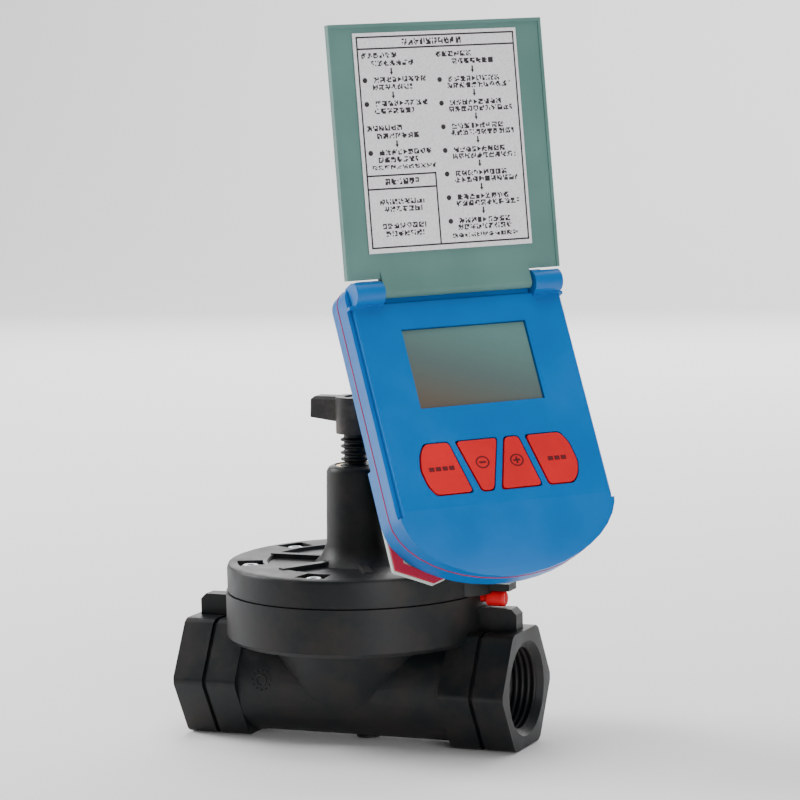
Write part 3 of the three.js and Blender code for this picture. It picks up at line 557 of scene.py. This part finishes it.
def key_legends():
    """Marks on the keys: bars on the outer two, a ringed minus and a ringed plus between."""
    top, height = 0.36, 0.12
    ring_radius, ring_thickness, ring_lift = 2.4, 0.3, 0.04
    ring_squash = Matrix.Diagonal((1, 0.85, 0.4, 1))

    def marks(body, centre, bars, ring):
        """One key's legend: bars given by their place from the centre and their size, and a ring."""
        pieces = [small_block((centre[0] + x, centre[1] + y, top), (width, depth, height), HEAD)
                  for x, y, width, depth in bars]
        if ring:
            bpy.ops.mesh.primitive_torus_add(major_radius=ring_radius * MM,
                                             minor_radius=ring_thickness * MM,
                                             major_segments=40, minor_segments=8)
            pieces.append(bpy.context.object)
            place = Matrix.Translation((centre[0] * MM, centre[1] * MM, (top + ring_lift) * MM))
            pieces[-1].matrix_world = HEAD @ place @ ring_squash
        dress(joined(pieces, body + "_legend"), KEY_INK, body)

    dashes = [(x, 0, 2.0, 1.5) for x in (-3.9, -1.3, 1.3, 3.9)]
    marks("key_mode", (-22.6, -66), dashes, False)
    marks("key_minus", (-6.3, -65), [(0, 0, 2.6, 0.7)], True)
    marks("key_plus", (7.2, -65.4), [(0, 0, 2.6, 0.7), (0, 0, 0.7, 2.4)], True)
    marks("key_set", (24.4, -66), dashes[:3], False)


PRINT_LOW = -0.1          # the ink starts inside the label, in the lid's own mm
PRINT_HIGH = 0.04         # and stands this far above the hinge's plane
PRINT_CELL = 0.48         # width of one blot
WORD_CELLS = 5            # blots in a word, the last of them left open
OPEN_SHARE = 0.34         # share of the other blots left open


def printed_row(chooser, start, end, y, tall=1.9):
    """A row of small blots with narrow gaps, like print too fine to read."""
    columns = round((end - start) / PRINT_CELL)
    lines = 4
    bpy.ops.mesh.primitive_grid_add(x_subdivisions=columns, y_subdivisions=lines, size=1)
    row = bpy.context.object
    for face in row.data.polygons:
        column = math.floor((face.center.x + 0.5) * columns)
        face.select = column % WORD_CELLS == WORD_CELLS - 1 or chooser.random() < OPEN_SHARE
    bpy.context.tool_settings.mesh_select_mode = (False, False, True)
    bpy.ops.object.mode_set(mode="EDIT")
    bpy.ops.mesh.delete(type="FACE")
    bpy.ops.mesh.select_all(action="SELECT")
    thickness = (PRINT_HIGH - PRINT_LOW) * MM
    bpy.ops.mesh.extrude_region_move(TRANSFORM_OT_translate={"value": (0, 0, thickness)})
    bpy.ops.object.mode_set(mode="OBJECT")
    middle = Vector(((start + end) / 2, y, PRINT_LOW)) * MM
    stretch = Matrix.Diagonal(((end - start) * MM, tall * MM, 1, 1))
    row.matrix_world = LID @ Matrix.Translation(middle) @ stretch
    return row


def printed_disc(x, y, radius, corners, turn=0.0):
    """A round or three-cornered mark; a three-cornered one points the way that it is turned."""
    bpy.ops.mesh.primitive_cylinder_add(vertices=corners, radius=radius * MM,
                                        depth=(PRINT_HIGH - PRINT_LOW) * MM)
    mark = bpy.context.object
    middle = Vector((x, y, (PRINT_LOW + PRINT_HIGH) / 2)) * MM
    turned = Matrix.Rotation(math.radians(turn), 4, "Z")
    mark.matrix_world = LID @ Matrix.Translation(middle) @ turned
    return mark


def label_printing():
    """A framed programming chart: two columns of steps with arrows between them, and nothing to read."""
    chooser = random.Random(7)
    left, right, low, high = -31.7, 30.5, 15.7, 89.5               # the frame
    box_right, box_top, box_head, head = -4.7, 40.9, 36.2, 85.4    # the inner rules
    line, step = 0.6, 8.36                                         # a rule's width, a step's rise
    left_step, left_arrow, right_step, right_arrow = -30.5, -19, -1.1, 13.2
    round_mark, arrow_head, pointer = 12, 3, 3                     # corners of each printed mark
    pieces = []

    def rule(x0, y0, x1, y1):
        """A straight printed line."""
        size = (x1 - x0 + line, y1 - y0 + line, PRINT_HIGH - PRINT_LOW)
        pieces.append(small_block(((x0 + x1) / 2, (y0 + y1) / 2, PRINT_LOW), size, LID))

    def words(start, end, y, tall=1.9):
        """One row of words between two places across the lid."""
        pieces.append(printed_row(chooser, start, end, y, tall))

    def arrow(x, y):
        """A short arrow down to the next step."""
        rule(x, y - 0.3, x, y + 0.9)
        pieces.append(printed_disc(x, y - 0.6, 0.8, arrow_head, 180))

    def choice_step(start, y):
        """One step: a round key mark, words, a pointer to the right, and words."""
        pieces.append(printed_disc(start + 0.9, y, 0.95, round_mark))
        words(start + 4.4, start + 13.2, y)
        pieces.append(printed_disc(start + 14.3, y, 1.05, pointer, -90))
        words(start + 15.6, start + 24.8, y)

    for y in (low, high, head):
        rule(left, y, right, y)
    for x in (left, right):
        rule(x, low, x, high)
    rule(left, box_top, box_right, box_top)
    rule(left, box_head, box_right, box_head)
    rule(box_right, low, box_right, box_top)
    words(-14, 9.9, 87.4, 2.3)
    words(-24.8, -11.5, 38.6, 2.2)
    for start, end, y in ((-27.5, -10, 31.6), (-26, -11, 29),
                          (-27.5, -10, 23.1), (-26, -11, 20.4)):
        words(start, end, y)

    for top, steps in ((83, 2), (57.5, 1)):
        words(-30.3, -16.6, top)
        words(-26.6, -10.1, top - 2.8)
        for k in range(steps):
            arrow(left_arrow, top - 5.7 - step * k)
            choice_step(left_step, top - 8.6 - step * k)
            words(-26.7, -11.2, top - 11.2 - step * k)
    words(-29.3, -3.5 - line, 43.7, 1.5)

    words(-1, 13.1, 82.6)
    words(5.2, 22.2, 79.9)
    for k in range(7):
        y = 73.6 - step * k
        arrow(right_arrow, y + 3.3)
        choice_step(right_step, y)
        words(2.7, 27.9 if k < 6 else 24, y - 2.3)
    words(0.2, 26.3, 18.3, 1.5)
    dress(joined(pieces, "label_printing"), INK, "lid")


def paint_nodes():
    """Every CAD node that still shows takes the finish of its slot."""
    for name, node in frame["nodes"].items():
        node.data.materials.clear()
        node.data.materials.append(FINISHES[SLOT_OF[name]])


add_camera()
add_studio()
paint_nodes()
valve_pieces()
head_pieces()
key_legends()
label_printing()
